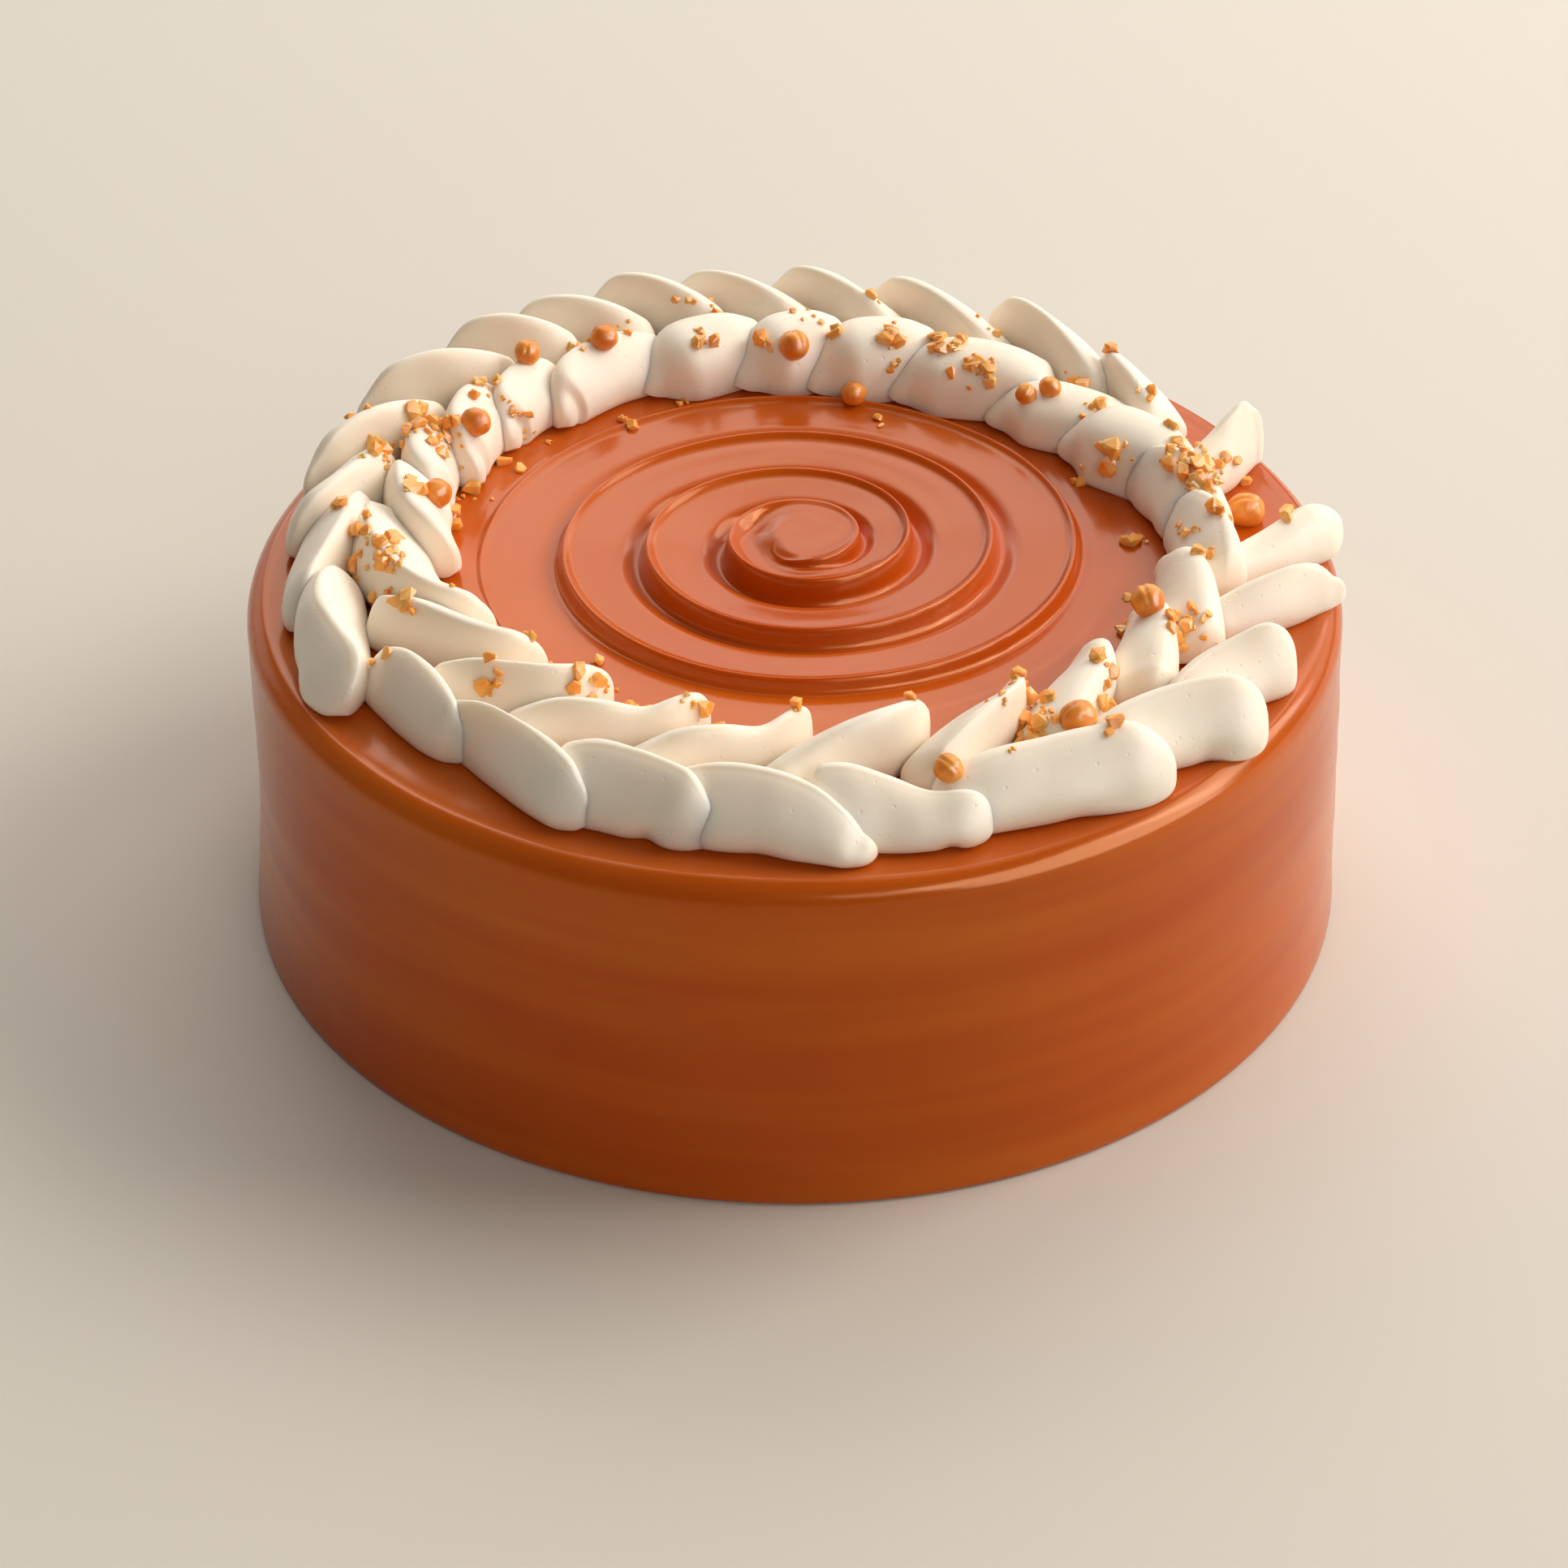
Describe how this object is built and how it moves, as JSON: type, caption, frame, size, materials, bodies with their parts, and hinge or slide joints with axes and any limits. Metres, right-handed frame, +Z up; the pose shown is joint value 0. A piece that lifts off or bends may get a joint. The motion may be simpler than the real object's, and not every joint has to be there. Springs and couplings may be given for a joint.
{
  "type": "butterscotch cake",
  "caption": "Round glazed layer cake with a spiral drawn in its glossy butterscotch top, a wreath of piped cream strokes round the rim, and praline pearls and crumbs.",
  "frame": {"origin": "middle of the flat round base, on the surface the cake stands on", "axes": "+Z up, -Y towards the side shown at the front, +X to the right of that side"},
  "size_m": [0.205, 0.205, 0.0808],
  "materials": {
    "glaze": "glossy butterscotch glaze, set with soft waves",
    "cream": "smooth whipped cream, satin, with fine air bubbles",
    "praline": "glossy golden brown praline"
  },
  "bodies": {
    "root": {"glazed_cake": "glaze", "inner_stroke_01": "cream", "inner_stroke_02": "cream", "inner_stroke_03": "cream", "inner_stroke_04": "cream", "inner_stroke_05": "cream", "inner_stroke_06": "cream", "inner_stroke_07": "cream", "inner_stroke_08": "cream", "inner_stroke_09": "cream", "inner_stroke_10": "cream", "inner_stroke_11": "cream", "inner_stroke_12": "cream", "inner_stroke_13": "cream", "inner_stroke_14": "cream", "inner_stroke_15": "cream", "inner_stroke_16": "cream", "inner_stroke_17": "cream", "inner_stroke_18": "cream", "inner_stroke_19": "cream", "inner_stroke_20": "cream", "inner_stroke_21": "cream", "inner_stroke_22": "cream", "inner_stroke_23": "cream", "outer_stroke_01": "cream", "outer_stroke_02": "cream", "outer_stroke_03": "cream", "outer_stroke_04": "cream", "outer_stroke_05": "cream", "outer_stroke_06": "cream", "outer_stroke_07": "cream", "outer_stroke_08": "cream", "outer_stroke_09": "cream", "outer_stroke_10": "cream", "outer_stroke_11": "cream", "outer_stroke_12": "cream", "outer_stroke_13": "cream", "outer_stroke_14": "cream", "outer_stroke_15": "cream", "outer_stroke_16": "cream", "outer_stroke_17": "cream", "outer_stroke_18": "cream", "outer_stroke_19": "cream", "outer_stroke_20": "cream", "outer_stroke_21": "cream", "outer_stroke_22": "cream", "outer_stroke_23": "cream", "outer_stroke_24": "cream", "praline_pearl_01": "praline", "praline_pearl_02": "praline", "praline_pearl_03": "praline", "praline_pearl_04": "praline", "praline_pearl_05": "praline", "praline_pearl_06": "praline", "praline_pearl_07": "praline", "praline_pearl_08": "praline", "praline_pearl_09": "praline", "praline_pearl_10": "praline", "praline_pearl_11": "praline", "praline_pearl_12": "praline"}
  },
  "joints": []
}
